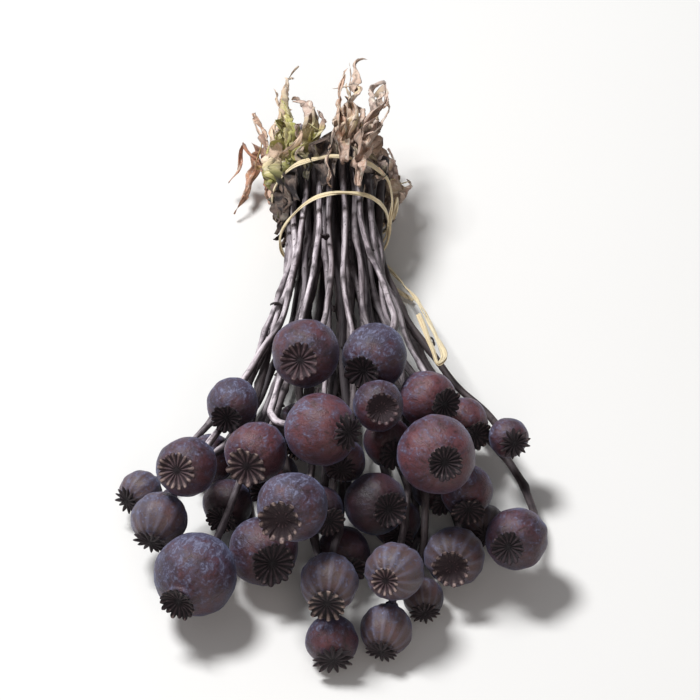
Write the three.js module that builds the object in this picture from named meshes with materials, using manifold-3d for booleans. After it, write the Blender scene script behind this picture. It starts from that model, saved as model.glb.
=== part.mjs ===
// A tied bunch of dried poppy seed heads, lying on a table.
// Millimetres, +Z up. +Y runs along the bunch from the seed heads to the cut ends, and +X is to the right of
// someone who stands at the seed heads. The origin is on the table, under the middle of the bunch's box.
import * as THREE from "three";
import { mergeVertices } from "three/addons/utils/BufferGeometryUtils.js";
import Module from "manifold-3d";

const wasm = await Module();
wasm.setup();

// Scale and view of the photograph, which the places of the seed heads and leaves are read from.
const pixel = 1.18; // real width of one pixel at the bunch
const lookDown = THREE.MathUtils.degToRad(45); // how steeply it looks down on the laid bunch
const middleColumn = 280;
const lowestRow = 455; // of the lowest seed heads, which lie on the table
const lowestHeight = 9.3;

// The stalks.
const neckThickness = 2.8; // under the capsule
const footThickness = 3.9; // at the cut end
const stalkSides = 5;
const stalkStep = 20; // between the stalk's cross sections
const bendStep = 13; // between the points that a stalk bends at
const neckStraight = 8; // how far a stalk goes straight on below its capsule
const shortestEnd = 30; // from the lower turn of the tie to the cut
const longestEnd = 52;

// The tie, a strand of raffia that goes twice round the stalks.
const tieAt = 203; // from the lowest seed heads to where the stalks are tied
const waistRadius = 17.5; // to the middles of the outer stalks
const waistHeight = 25;
const stalkSpacing = 5.4; // between the stalks where they are tied
const raffiaThickness = 1.6;
const raffiaSides = 5;
const raffiaStep = 8;
const lowerTurn = { at: 199, slant: 5, radius: 20.9 };
const upperTurn = { at: 216, slant: -1, radius: 24.2 };
const knotRadius = 2.6;
const knotTurn = 0.862; // where the knot is on the lower turn, from the right over the top

// The capsule, in shares of its greatest radius: its outline from the collar to the neck under the crown.
const capsuleOutline = [
  [0, -1.16],
  [0.26, -1.1],
  [0.18, -0.99],
  [0.56, -0.82],
  [0.95, -0.34],
  [0.99, 0.22],
  [0.68, 0.75],
  [0.34, 0.91],
  [0.32, 1],
  [0, 1],
];
const collarReach = 1.1; // from the capsule's middle down to its collar
const collarRadius = 0.26;

// The crown, in shares of the capsule's radius along its axis, and of the crown's own radius across it.
const crownReach = 1.13; // from the capsule's middle to the rays' tips
const crownMiddle = 1.03; // to the dip in the crown's middle
const crownEdge = 0.07; // thickness of the rim
const crownUnder = 0.96;
const fewestRays = 8; // a capsule has as many sides as its crown has rays
const mostRays = 10;
const notchDepth = 0.2; // of the gaps between the rays' tips
const furrowDepth = 0.05;

// The withered leaves that the tie holds round the cut ends.
const leafThickness = 0.9;
const leafAcross = 3; // strips across a leaf
const leafStep = 9; // along a leaf, between its rows of points
const leafTip = 0.28; // width at the tip and at the foot, as a share of the widest
const raggedness = 0.3;
const leafFeet = 22.1; // from the middle of the tie to the leaves that it holds
const leafFootAt = 207;
const leafHeldTo = 221;

const clearance = 0.85; // between neighbours that settle against each other

// Each seed head as the photograph shows it: the column and row of its middle, its width in millimetres, how
// many pixels right and down from its middle the crown lies, the crown's width, and its height on the table.
const seedHeads = [
  { column: 271, row: 366, width: 26, crown: [-2, 2.5], disc: 14.6, height: 60 },
  { column: 293, row: 367.5, width: 25, crown: [-3.9, 5.3], disc: 14, height: 58 },
  { column: 247.5, row: 382.5, width: 20.5, crown: [-2, 4.8], disc: 12, height: 32 },
  { column: 276, row: 390, width: 27.5, crown: [9.6, 1], disc: 15, height: 52 },
  { column: 293.4, row: 382, width: 19.8, crown: [1.2, 1], disc: 12.4, height: 50 },
  { column: 309.5, row: 381, width: 22, crown: [6, 2], disc: 13, height: 40 },
  { column: 312.3, row: 398.3, width: 30, crown: [2.9, 2.4], disc: 13.8, height: 50 },
  { column: 334.6, row: 393, width: 15.5, crown: [2, 2], disc: 12.2, height: 26 },
  { column: 255.2, row: 397.4, width: 23.6, crown: [-3.1, 4.8], disc: 15.4, height: 42 },
  { column: 233.2, row: 403, width: 23, crown: [-3.3, 1.4], disc: 14.2, height: 32 },
  { column: 241, row: 399, width: 18.9, crown: [-3, 3], disc: 12.5, height: 18 },
  { column: 224.6, row: 418.6, width: 21.5, crown: [-3.3, 8], disc: 13.2, height: 22 },
  { column: 236.3, row: 435.8, width: 31.8, crown: [-5.5, 9.1], disc: 14, height: 20 },
  { column: 267.4, row: 416, width: 26.4, crown: [-3.5, 4], disc: 16.4, height: 42 },
  { column: 257, row: 428.5, width: 26.8, crown: [2.9, 4], disc: 17, height: 20 },
  { column: 283.4, row: 400.7, width: 17, crown: [-1, 3], disc: 12, height: 34 },
  { column: 291.4, row: 413.3, width: 23.6, crown: [4.6, 2], disc: 14, height: 26 },
  { column: 278.4, row: 440.3, width: 22.8, crown: [-0.8, 7], disc: 14.4, height: 22 },
  { column: 279.2, row: 455, width: 19.6, crown: [0.5, 7], disc: 15.6, height: 10 },
  { column: 297.6, row: 436, width: 22.7, crown: [-3.1, 2.8], disc: 10.6, height: 22 },
  { column: 296.5, row: 452.6, width: 20, crown: [-1.8, 7.6], disc: 12.4, height: 10 },
  { column: 319, row: 430, width: 23.2, crown: [-1, 3.1], disc: 14.4, height: 18 },
  { column: 337.9, row: 425, width: 23.8, crown: [-3.1, 2.6], disc: 12.6, height: 22 },
  { column: 309.3, row: 442.9, width: 15.6, crown: [0.5, 5.5], disc: 11.6, height: 9 },
  { column: 322, row: 409.7, width: 20, crown: [0.5, 6.6], disc: 13, height: 30 },
  { column: 327, row: 421, width: 16.5, crown: [1, 4], disc: 11, height: 10 },
  { column: 277, row: 416, width: 18.9, crown: [4, 4], disc: 12, height: 26 },
  { column: 246, row: 414.5, width: 18.9, crown: [-2, 5], disc: 12, height: 12 },
  { column: 281.7, row: 430, width: 21.2, crown: [2, 5], disc: 13, height: 12 },
  { column: 217.9, row: 410.3, width: 16.5, crown: [-4.8, 3.3], disc: 11.4, height: 12 },
  { column: 298, row: 394.5, width: 18.9, crown: [2, 4], disc: 12, height: 28 },
  { column: 322, row: 388.5, width: 19.5, crown: [4.5, 4], disc: 12.4, height: 24 },
  { column: 262, row: 404, width: 20, crown: [-2, 5], disc: 12.6, height: 12 },
  { column: 301, row: 420, width: 18.9, crown: [1, 5], disc: 12, height: 9 },
  { column: 268, row: 392, width: 20, crown: [0, 5], disc: 12.4, height: 14 },
  { column: 312, row: 409, width: 17.7, crown: [3, 5], disc: 11.4, height: 9 },
];

// The withered leaves: where each grows from round the tie, as a share of a turn from the right over the top;
// its greatest width, how far its sides curl up and how far it twists, in radians; and the column, row and
// height of points on its route to the tip.
const leaves = [
  {
    name: "leaf_brown_right",
    turn: 0.125,
    width: 10,
    curl: 0.8,
    twist: 0.3,
    route: [[290.5, 299, 42], [289, 292, 43], [287.5, 285, 38]],
  },
  {
    name: "leaf_looped_right",
    turn: 0.19,
    width: 5.5,
    curl: 0.8,
    twist: 0.6,
    route: [[290.5, 295, 49], [292, 286, 50], [295.5, 280.5, 46], [297.5, 284, 38], [294.5, 292, 33]],
  },
  {
    name: "leaf_tall_right",
    turn: 0.25,
    width: 6.5,
    curl: 1,
    twist: -0.6,
    route: [[283.5, 291, 52], [285.5, 282, 50], [285, 270, 44]],
  },
  {
    name: "leaf_olive_middle",
    turn: 0.328,
    width: 8.5,
    curl: 0.9,
    twist: 0.5,
    route: [[273.5, 294, 53], [272, 287, 51], [266.5, 282.5, 44]],
  },
  {
    name: "leaf_curled_left",
    turn: 0.405,
    width: 10,
    curl: 1,
    twist: 0.5,
    route: [[266, 296, 45], [263, 281, 41], [268, 271, 38]],
  },
  {
    name: "leaf_olive_left",
    turn: 0.5,
    width: 11,
    curl: 0.8,
    twist: -0.4,
    route: [[261.5, 304, 32], [261, 297, 36], [264, 290, 36]],
  },
  {
    name: "leaf_hanging_left",
    turn: 0.575,
    width: 5.5,
    curl: 0.6,
    twist: 0.9,
    route: [[258.5, 303, 21], [255, 297, 20], [252.5, 308, 12], [247, 320, 4]],
  },
  {
    name: "leaf_tan_left",
    turn: 0.628,
    width: 5,
    curl: 0.7,
    twist: 0.4,
    route: [[260.5, 307, 9], [258.5, 297, 14], [253, 286, 20]],
  },
  {
    name: "leaf_under_left",
    turn: 0.7,
    width: 9,
    curl: -0.15,
    twist: 0.1,
    route: [[271, 315, 3], [268, 302, 2.4]],
  },
  {
    name: "leaf_under_right",
    turn: 0.79,
    width: 9,
    curl: -0.15,
    twist: -0.1,
    route: [[288, 315, 3], [290, 300, 2.4]],
  },
  {
    name: "leaf_low_right",
    turn: 0.867,
    width: 6.5,
    curl: 0.4,
    twist: -0.3,
    route: [[293.5, 312, 8], [294, 304, 6.5], [293, 296, 10]],
  },
  {
    name: "leaf_side_right",
    turn: 0.935,
    width: 6.5,
    curl: 0.8,
    twist: -0.5,
    route: [[298.5, 307, 22], [296.5, 300.5, 20], [293.5, 294, 26]],
  },
];

// The view's own axes.
const toRight = new THREE.Vector3(1, 0, 0);
const upwards = new THREE.Vector3(0, Math.sin(lookDown), Math.cos(lookDown));
const towards = new THREE.Vector3(0, -Math.cos(lookDown), Math.sin(lookDown));

// A repeatable random number from 0 to 1.
function randomNumbers(seed) {
  let state = seed;
  return () => {
    state = (state + 0x6d2b79f5) | 0;
    let t = Math.imul(state ^ (state >>> 15), 1 | state);
    t = (t + Math.imul(t ^ (t >>> 7), 61 | t)) ^ t;
    return ((t ^ (t >>> 14)) >>> 0) / 4294967296;
  };
}
const random = randomNumbers(7);

// Where a point of the photograph lies, when it is at a known height above the table.
function placeOf(column, row, height) {
  const up = (lowestRow - row) * pixel + lowestHeight * Math.cos(lookDown);
  const y = (up - height * Math.cos(lookDown)) / Math.sin(lookDown);
  return new THREE.Vector3((column - middleColumn) * pixel, y, height);
}

// The way a crown faces, from where the photograph shows it against its capsule.
function facing([right, down], radius) {
  const reach = (crownReach * radius) / pixel;
  const flat = Math.min(1, Math.hypot(right, down) / reach);
  const scale = flat / Math.hypot(right, down);
  return new THREE.Vector3()
    .addScaledVector(toRight, right * scale)
    .addScaledVector(upwards, -down * scale)
    .addScaledVector(towards, Math.sqrt(1 - flat * flat));
}

// A stalk is a capsule, and a line of points from under it, past the tie, to the cut end.
function startStalk(head) {
  const radius = head.width / 2;
  const middle = placeOf(head.column, head.row, head.height);
  const axis = facing(head.crown, radius);
  const base = middle.clone().addScaledVector(axis, -collarReach * radius);
  const below = base.clone().addScaledVector(axis, -neckStraight);
  const gather = 0.23; // how much of the stalks' spread is left where they are tied
  const tied = new THREE.Vector3(base.x * gather, tieAt, waistHeight + (base.z - 30) * gather);
  const pull = below.distanceTo(tied) / 2.6;
  const curve = new THREE.CubicBezierCurve3(
    below,
    below.clone().addScaledVector(axis, -pull * 0.6),
    tied.clone().setY(tied.y - pull),
    tied,
  );
  const bends = Math.max(3, Math.round(below.distanceTo(tied) / bendStep));
  const line = [base, ...curve.getPoints(bends)];
  const tiedIndex = line.length - 1;
  const end = THREE.MathUtils.lerp(shortestEnd, longestEnd, random());
  for (const beyond of [end / 2, end]) {
    line.push(new THREE.Vector3(tied.x * (1 + beyond / 150), tieAt + beyond, tied.z));
  }
  return { radius, disc: head.disc / 2, axis, middle, aim: middle.clone(), line, tiedIndex };
}

// The balls that stand for a capsule, its crown and its collar while the stalks settle.
function ballsOf({ middle, axis, radius, disc }) {
  const crownBall = 0.74; // how far along the axis the crown's ball sits, in shares of the radius
  return [
    { at: middle, size: radius * 1.02 },
    {
      at: middle.clone().addScaledVector(axis, radius * crownBall),
      size: Math.hypot(disc, radius * (crownReach - crownBall)),
    },
    { at: middle.clone().addScaledVector(axis, -radius * collarReach), size: radius * collarRadius },
  ];
}

const dot = (u, v) => u[0] * v[0] + u[1] * v[1] + u[2] * v[2];
const between = (a, b) => [b.x - a.x, b.y - a.y, b.z - a.z];
const unit = (x) => Math.min(1, Math.max(0, x));

// The nearest points of two straight stretches, a to b and c to d: how far along each, the way from the
// second to the first, and its length.
function nearest(a, b, c, d) {
  const u = between(a, b);
  const v = between(c, d);
  const w = between(c, a);
  const uu = dot(u, u);
  const uv = dot(u, v);
  const vv = dot(v, v);
  const spread = uu * vv - uv * uv;
  let s = spread > 1e-9 ? unit((uv * dot(v, w) - vv * dot(u, w)) / spread) : 0.5;
  const t = vv > 1e-9 ? unit((uv * s + dot(v, w)) / vv) : 0;
  s = uu > 1e-9 ? unit((uv * t - dot(u, w)) / uu) : 0;
  const way = new THREE.Vector3(
    w[0] + s * u[0] - t * v[0],
    w[1] + s * u[1] - t * v[1],
    w[2] + s * u[2] - t * v[2],
  );
  return { s, t, way, gap: Math.max(way.length(), 1e-6) };
}

// Moves one point of a stalk. The first two go with the capsule, and those past the tie keep their place
// along the bunch.
function nudge(stalk, index, way, share) {
  if (index < 2) {
    stalk.middle.addScaledVector(way, share);
    return;
  }
  const point = stalk.line[index];
  const along = point.y;
  point.addScaledVector(way, share);
  if (index >= stalk.tiedIndex) point.y = along;
}

const softness = 0.15; // room for a stalk's corners and kinks
const stalkRadius = (footThickness + neckThickness) / 4 + softness;

// Parts two capsules that press on each other.
function partHeads(one, other) {
  for (const p of ballsOf(one)) {
    for (const q of ballsOf(other)) {
      const way = p.at.clone().sub(q.at);
      const gap = way.length();
      const need = p.size + q.size + clearance;
      if (gap < need) {
        way.multiplyScalar(((need - gap) / gap) * 0.25);
        one.middle.add(way);
        other.middle.sub(way);
      }
    }
  }
}

// Parts a capsule from another's stalk.
function partHeadFromStalk(one, other) {
  const farOff = 60;
  for (const p of ballsOf(one)) {
    const need = p.size + stalkRadius + clearance;
    for (let k = 0; k < other.line.length - 1; k += 1) {
      if (p.at.manhattanDistanceTo(other.line[k]) > farOff) continue;
      const near = nearest(other.line[k], other.line[k + 1], p.at, p.at);
      if (near.gap < need) {
        const share = (need - near.gap) / near.gap;
        nudge(other, k, near.way, share * (1 - near.s) * 0.6);
        nudge(other, k + 1, near.way, share * near.s * 0.6);
        one.middle.addScaledVector(near.way, -share * 0.15);
      }
    }
  }
}

// Parts two stalks.
function partStalks(one, other) {
  const farOff = 60;
  for (let k = 0; k < one.line.length - 1; k += 1) {
    for (let m = 0; m < other.line.length - 1; m += 1) {
      if (one.line[k].manhattanDistanceTo(other.line[m]) > farOff) continue;
      const tied = k >= one.tiedIndex - 1 || m >= other.tiedIndex - 1;
      const need = tied ? stalkSpacing : 2 * stalkRadius + clearance;
      const near = nearest(one.line[k], one.line[k + 1], other.line[m], other.line[m + 1]);
      if (near.gap < need) {
        const share = ((need - near.gap) / near.gap) * 0.3;
        nudge(one, k, near.way, share * (1 - near.s));
        nudge(one, k + 1, near.way, share * near.s);
        nudge(other, m, near.way, -share * (1 - near.t));
        nudge(other, m + 1, near.way, -share * near.t);
      }
    }
  }
}

// The first two points of a stalk go with its capsule.
function followCapsule({ middle, axis, radius, line }) {
  line[0].copy(middle).addScaledVector(axis, -collarReach * radius);
  line[1].copy(line[0]).addScaledVector(axis, -neckStraight);
}

// Each capsule keeps to its line of sight in the photograph.
function keepInSight({ middle, aim }) {
  const off = aim.clone().sub(middle);
  const along = towards.clone().multiplyScalar(off.dot(towards));
  middle.addScaledVector(off.sub(along), 0.12).addScaledVector(along, 0.01);
}

// Each stalk straightens like a stiff rod, with a little crookedness of its own.
function straighten({ line, tiedIndex }, crook) {
  const middleOf = (a, b) => a.clone().add(b).multiplyScalar(0.5);
  for (let i = 2; i < line.length - 1; i += 1) {
    const here = middleOf(line[i - 1], line[i + 1]).sub(line[i]);
    const before = middleOf(line[i - 2], line[i]).sub(line[i - 1]);
    const after = line[i + 2] ? middleOf(line[i], line[i + 2]).sub(line[i + 1]) : new THREE.Vector3();
    here.sub(middleOf(before, after)).multiplyScalar(0.45);
    if (i < tiedIndex) here.addScaledVector(crook[i], 0.5);
    else here.y = 0;
    line[i].add(here);
  }
}

// Holds a stalk inside the tie, and all of it above the table.
function holdStalk(stalk) {
  const { line, tiedIndex, middle } = stalk;
  for (let i = tiedIndex - 1; i < line.length; i += 1) {
    const p = line[i];
    const out = Math.hypot(p.x, p.z - waistHeight);
    const limit = waistRadius * (i < line.length - 1 ? 1 : 1.12);
    if (out > limit) {
      p.x *= limit / out;
      p.z = waistHeight + ((p.z - waistHeight) * limit) / out;
    }
  }
  for (const p of line) p.z = Math.max(p.z, stalkRadius);
  const lowest = Math.min(...ballsOf(stalk).map(({ at, size }) => at.z - size));
  if (lowest < 0) middle.z -= lowest * 0.5;
  followCapsule(stalk);
  if (line[1].z < stalkRadius) middle.z += 0.5 * (stalkRadius - line[1].z);
  followCapsule(stalk);
}

// Pushes the capsules and stalks apart until all are clear of each other, as they settle in a real bunch.
function settle(stalks) {
  const rounds = 500;
  const crookedRounds = 300;
  const crookedness = 0.7;
  const aside = () => (random() - 0.5) * crookedness;
  const crooks = stalks.map(({ line }) => line.map(() => new THREE.Vector3(aside(), aside() * 0.4, aside())));
  for (let round = 0; round < rounds; round += 1) {
    if (round === crookedRounds) crooks.flat().forEach((crook) => crook.set(0, 0, 0));
    stalks.forEach((stalk, i) => {
      keepInSight(stalk);
      straighten(stalk, crooks[i]);
      followCapsule(stalk);
    });
    stalks.forEach((one, i) => {
      stalks.forEach((other, j) => {
        if (i !== j) partHeadFromStalk(one, other);
        if (i < j) partHeads(one, other);
        if (i < j) partStalks(one, other);
      });
    });
    stalks.forEach(holdStalk);
  }
}

// A closed geometry as a solid that can be joined to others.
function solidFrom(geometry) {
  geometry.deleteAttribute("normal");
  geometry.deleteAttribute("uv");
  const merged = mergeVertices(geometry, 1e-4);
  const mesh = new wasm.Mesh({
    numProp: 3,
    vertProperties: new Float32Array(merged.attributes.position.array),
    triVerts: new Uint32Array(merged.index.array),
  });
  return new wasm.Manifold(mesh);
}

// The geometry of a solid.
function geometryFrom(solid) {
  const { vertProperties, triVerts } = solid.getMesh();
  const geometry = new THREE.BufferGeometry();
  geometry.setAttribute("position", new THREE.BufferAttribute(vertProperties, 3));
  geometry.setIndex(new THREE.BufferAttribute(triVerts, 1));
  geometry.computeVertexNormals();
  return geometry;
}

// A many-sided section swept along a route. widthAt gives its radius, from the route's start at 0 to 1.
function sweep(route, sides, step, widthAt) {
  const path = new THREE.CatmullRomCurve3(route, false, "centripetal");
  const steps = Math.max(2, Math.round(path.getLength() / step));
  const corners = Array.from({ length: sides }, (_, i) => {
    const turn = (i / sides) * 2 * Math.PI;
    return new THREE.Vector2(Math.cos(turn), Math.sin(turn));
  });
  const geometry = new THREE.ExtrudeGeometry(new THREE.Shape(corners), {
    extrudePath: path,
    steps,
    bevelEnabled: false,
  });
  const middles = path.getSpacedPoints(steps);
  const { position } = geometry.attributes;
  const point = new THREE.Vector3();
  for (let i = 0; i < position.count; i += 1) {
    point.fromBufferAttribute(position, i);
    const gaps = middles.map((middle) => Math.abs(point.distanceTo(middle) - 1));
    const k = gaps.indexOf(Math.min(...gaps));
    point.sub(middles[k]).multiplyScalar(widthAt(k / steps)).add(middles[k]);
    position.setXYZ(i, point.x, point.y, point.z);
  }
  return solidFrom(geometry);
}

// The stalk itself, which starts inside its capsule and thickens to the cut end.
function stemSolid({ middle, axis, radius, line }) {
  const inside = middle.clone().addScaledVector(axis, -0.8 * radius);
  const widthAt = (share) => THREE.MathUtils.lerp(neckThickness, footThickness, share) / 2;
  return sweep([inside, ...line], stalkSides, stalkStep, widthAt);
}

// Turns a lathed piece, made round +Y, to the capsule's axis.
function setOnAxis(geometry, { middle, axis, spin }) {
  const turn = new THREE.Quaternion().setFromUnitVectors(new THREE.Vector3(0, 1, 0), axis);
  geometry.rotateY(spin);
  geometry.applyQuaternion(turn);
  geometry.translate(middle.x, middle.y, middle.z);
  return solidFrom(geometry);
}

function capsuleSolid(stalk) {
  const outline = capsuleOutline.map(([out, along]) => {
    return new THREE.Vector2(out * stalk.radius, along * stalk.radius);
  });
  return setOnAxis(new THREE.LatheGeometry(outline, stalk.rays), stalk);
}

// The crown is a shallow dish of rays: every second point of its rim stands back and lies lower.
function crownSolid(stalk) {
  const { radius, disc, rays } = stalk;
  const outline = [
    [0, crownUnder * radius],
    [disc, (crownReach - crownEdge) * radius],
    [disc, crownReach * radius],
    [0, crownMiddle * radius],
  ].map(([out, along]) => new THREE.Vector2(out, along));
  const geometry = new THREE.LatheGeometry(outline, rays * 2);
  const { position } = geometry.attributes;
  for (let i = 0; i < position.count; i += 1) {
    const out = Math.hypot(position.getX(i), position.getZ(i));
    const segment = Math.floor(i / outline.length);
    if (out > disc * 0.9 && segment % 2 === 1) {
      position.setX(i, position.getX(i) * (1 - notchDepth));
      position.setZ(i, position.getZ(i) * (1 - notchDepth));
      position.setY(i, position.getY(i) - furrowDepth * radius);
    }
  }
  return setOnAxis(geometry, stalk);
}

// A stalk with its capsule and crown, which grew as one.
function stalkSolid(stalk) {
  return stemSolid(stalk).add(capsuleSolid(stalk)).add(crownSolid(stalk));
}

// A point on a ring round the stalks: turn is 0 at the right and a quarter on top.
function onRing(turn, radius, at) {
  const angle = turn * 2 * Math.PI;
  return new THREE.Vector3(radius * Math.cos(angle), at, waistHeight + radius * Math.sin(angle));
}

// A point of the raffia, which goes round the stalks once and then changes to its upper turn.
function roundTheStalks(turn) {
  const change = THREE.MathUtils.smoothstep(turn, 1, 1.07);
  const radius = THREE.MathUtils.lerp(lowerTurn.radius, upperTurn.radius, change);
  const at = THREE.MathUtils.lerp(lowerTurn.at, upperTurn.at, change);
  const slant = THREE.MathUtils.lerp(lowerTurn.slant, upperTurn.slant, change);
  return onRing(turn, radius, at + slant * Math.cos(turn * 2 * Math.PI));
}

// A loose strand's route, lifted until it lies clear on top of the stalks.
function drapedRoute(places, stalks) {
  const path = new THREE.CatmullRomCurve3(places.map((place) => new THREE.Vector3(...place)));
  const route = path.getSpacedPoints(Math.round(path.getLength() / raffiaStep));
  const room = raffiaThickness / 2 + clearance;
  const isClear = (point) =>
    stalks.every((stalk) => {
      const { line } = stalk;
      if (ballsOf(stalk).some(({ at, size }) => at.distanceTo(point) < size + room)) return false;
      return line.slice(1).every((next, k) => nearest(line[k], next, point, point).gap > stalkRadius + room);
    });
  for (const point of route.slice(1)) {
    while (!isClear(point)) point.z += 0.25;
  }
  for (let i = 2; i < route.length - 1; i += 1) {
    route[i].z = Math.max(route[i].z, (route[i - 1].z + route[i + 1].z) / 2);
  }
  return route;
}

// The tie: two turns, a knot low at the right, and a slack loop and a short tail that come out from under it.
function tieSolid(stalks) {
  const width = () => raffiaThickness / 2;
  const turns = 2.02;
  const pointsEachTurn = 24;
  const count = Math.round(turns * pointsEachTurn);
  const round = Array.from({ length: count + 1 }, (_, i) => roundTheStalks((i / count) * turns));
  const knotAt = onRing(knotTurn, lowerTurn.radius + 0.8, roundTheStalks(knotTurn).y);
  const loop = [
    knotAt.toArray(),
    [21.5, 197, 6.5],
    [26.5, 186, 7.5],
    [30.5, 174, 15],
    [34.5, 158, 22],
    [39, 137, 29],
    [42, 123, 31],
    [40.5, 116, 31],
    [37.5, 125, 33],
    [34.5, 135, 35],
    [32, 142, 37],
  ];
  const tail = [knotAt.toArray(), [19, 197, 3.6], [24, 189, 2.4], [30, 184, 2.2]];
  const knot = new THREE.SphereGeometry(knotRadius, 8, 6);
  knot.scale(0.8, 1.4, 1);
  knot.translate(knotAt.x, knotAt.y, knotAt.z);
  return sweep(round, raffiaSides, raffiaStep, width)
    .add(sweep(drapedRoute(loop, stalks), raffiaSides, raffiaStep, width))
    .add(sweep(drapedRoute(tail, stalks), raffiaSides, raffiaStep, width))
    .add(solidFrom(knot));
}

// A thin sheet as a solid. placeAt gives a point of either face, from shares across and along it.
function sheetSolid(across, along, placeAt) {
  const plane = new THREE.PlaneGeometry(1, 1, across, along);
  const { position } = plane.attributes;
  const { count } = position;
  const points = [];
  for (const face of [0.5, -0.5]) {
    for (let i = 0; i < count; i += 1) {
      points.push(placeAt(position.getX(i) * 2, 0.5 + position.getY(i), face));
    }
  }
  const front = Array.from(plane.index.array);
  const triangles = [...front];
  for (let i = 0; i < front.length; i += 3) {
    triangles.push(front[i] + count, front[i + 2] + count, front[i + 1] + count);
  }
  const last = along * (across + 1);
  const rim = [];
  for (let i = 0; i < across; i += 1) rim.push(i);
  for (let j = 0; j < along; j += 1) rim.push(across + j * (across + 1));
  for (let i = across; i > 0; i -= 1) rim.push(last + i);
  for (let j = along; j > 0; j -= 1) rim.push(j * (across + 1));
  rim.forEach((here, k) => {
    const next = rim[(k + 1) % rim.length];
    triangles.push(here, next, here + count, next, next + count, here + count);
  });
  const geometry = new THREE.BufferGeometry().setFromPoints(points);
  geometry.setIndex(triangles);
  return solidFrom(geometry);
}

// A withered leaf: it lies flat under the tie, and then its ragged sides curl up as it twists to its tip.
function leafSolid({ turn, width, curl, twist, route }) {
  const feet = [onRing(turn, leafFeet, leafFootAt), onRing(turn, leafFeet, leafHeldTo)];
  const path = new THREE.CatmullRomCurve3([...feet, ...route.map((place) => placeOf(...place))]);
  const length = path.getLength();
  const along = Math.round(length / leafStep);
  const held = (leafHeldTo - leafFootAt) / length;
  const ragged = Array.from({ length: (along + 1) * 2 }, () => 1 + (random() - 0.5) * raggedness * 2);
  const placeAt = (u, v, face) => {
    const middle = path.getPointAt(v);
    const forward = path.getTangentAt(v);
    const free = THREE.MathUtils.smoothstep(v, held, held + 0.3);
    const outward = new THREE.Vector3(middle.x, 0, middle.z - waistHeight);
    const side = forward.clone().cross(outward).normalize();
    outward.copy(side).cross(forward);
    side.applyAxisAngle(forward, twist * free);
    outward.applyAxisAngle(forward, twist * free);
    const broad = leafTip + (1 - leafTip) * Math.sin(Math.PI * v ** 0.8) ** 0.8;
    const edge = Math.abs(u) > 0.9 ? ragged[Math.round(v * along) * 2 + (u > 0 ? 1 : 0)] : 1;
    const out = (width / 2) * broad * Math.abs(u) * edge;
    const lean = THREE.MathUtils.lerp(-out / leafFeet / 2, curl * Math.abs(u), free);
    const thick = face * leafThickness;
    return middle
      .addScaledVector(side, Math.sign(u) * (out * Math.cos(lean) - thick * Math.sin(lean)))
      .addScaledVector(outward, out * Math.sin(lean) + thick * Math.cos(lean));
  };
  return sheetSolid(leafAcross, along, placeAt);
}

const poppy = new THREE.MeshStandardMaterial({ color: 0x55404f, roughness: 0.75, metalness: 0 });
const raffia = new THREE.MeshStandardMaterial({ color: 0xcdb67c, roughness: 0.7, metalness: 0 });
const deadLeaf = new THREE.MeshStandardMaterial({ color: 0x7d6a48, roughness: 0.85, metalness: 0 });

// A named mesh whose own origin is at a given place.
function meshAt(name, solid, material, origin) {
  const geometry = geometryFrom(solid);
  geometry.translate(-origin.x, -origin.y, -origin.z);
  const mesh = new THREE.Mesh(geometry, material.clone());
  mesh.name = name;
  mesh.position.copy(origin);
  return mesh;
}

const stalks = seedHeads.map(startStalk);
settle(stalks);

const laid = new THREE.Group();
stalks.forEach((stalk, i) => {
  stalk.rays = fewestRays + Math.floor(random() * (mostRays - fewestRays + 1));
  stalk.spin = random() * 2 * Math.PI;
  const name = `stalk_${String(i + 1).padStart(2, "0")}`;
  laid.add(meshAt(name, stalkSolid(stalk), poppy, stalk.middle));
});
laid.add(meshAt("raffia_tie", tieSolid(stalks), raffia, roundTheStalks(0)));
for (const leaf of leaves) {
  laid.add(meshAt(leaf.name, leafSolid(leaf), deadLeaf, onRing(leaf.turn, leafFeet, leafFootAt)));
}

// The bunch lies on the table with its box's middle over the origin.
const box = new THREE.Box3().setFromObject(laid, true);
const centre = box.getCenter(new THREE.Vector3());
laid.position.set(-centre.x, -centre.y, -box.min.z);

const bunch = new THREE.Group();
bunch.add(laid);

export default bunch;
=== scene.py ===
# A tied bunch of dried poppy seed heads, lying on a pale table.
# Metres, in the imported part's frame: the seed heads are at -Y, the cut ends at +Y.
import math

import bmesh
import bpy
import numpy as np
from mathutils import Matrix, Vector
from numpy.linalg import norm


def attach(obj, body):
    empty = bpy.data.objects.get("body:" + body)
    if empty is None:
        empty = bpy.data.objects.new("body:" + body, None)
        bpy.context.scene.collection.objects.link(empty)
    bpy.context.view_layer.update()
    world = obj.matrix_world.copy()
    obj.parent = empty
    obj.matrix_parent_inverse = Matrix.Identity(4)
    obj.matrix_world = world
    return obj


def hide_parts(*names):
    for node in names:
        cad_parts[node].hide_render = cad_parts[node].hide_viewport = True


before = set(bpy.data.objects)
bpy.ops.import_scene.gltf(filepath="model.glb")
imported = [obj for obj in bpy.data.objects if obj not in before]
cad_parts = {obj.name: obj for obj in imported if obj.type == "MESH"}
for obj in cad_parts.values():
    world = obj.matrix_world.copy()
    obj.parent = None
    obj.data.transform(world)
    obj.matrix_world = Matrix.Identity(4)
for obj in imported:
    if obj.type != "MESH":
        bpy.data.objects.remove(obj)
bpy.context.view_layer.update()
mm = 0.001
turn = 2 * math.pi
inPattern = 10 * mm  # the finishes' patterns are laid out in this


# Small helpers for lines and waves

def unit(vector):
    return vector / norm(vector)


def units(vectors):
    return vectors / norm(vectors, axis=-1, keepdims=True)


def joined(*values):
    # numbers and arrays side by side, as the parts of vectors
    return np.stack(np.broadcast_arrays(*values), -1)


def anglesRound(count):
    return np.arange(count) * turn / count


def bell(value):
    return np.exp(-(value**2))


def keptAbove(points, height):
    # none lower than that over the table
    return np.maximum(points, (-np.inf, -np.inf, height))


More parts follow.
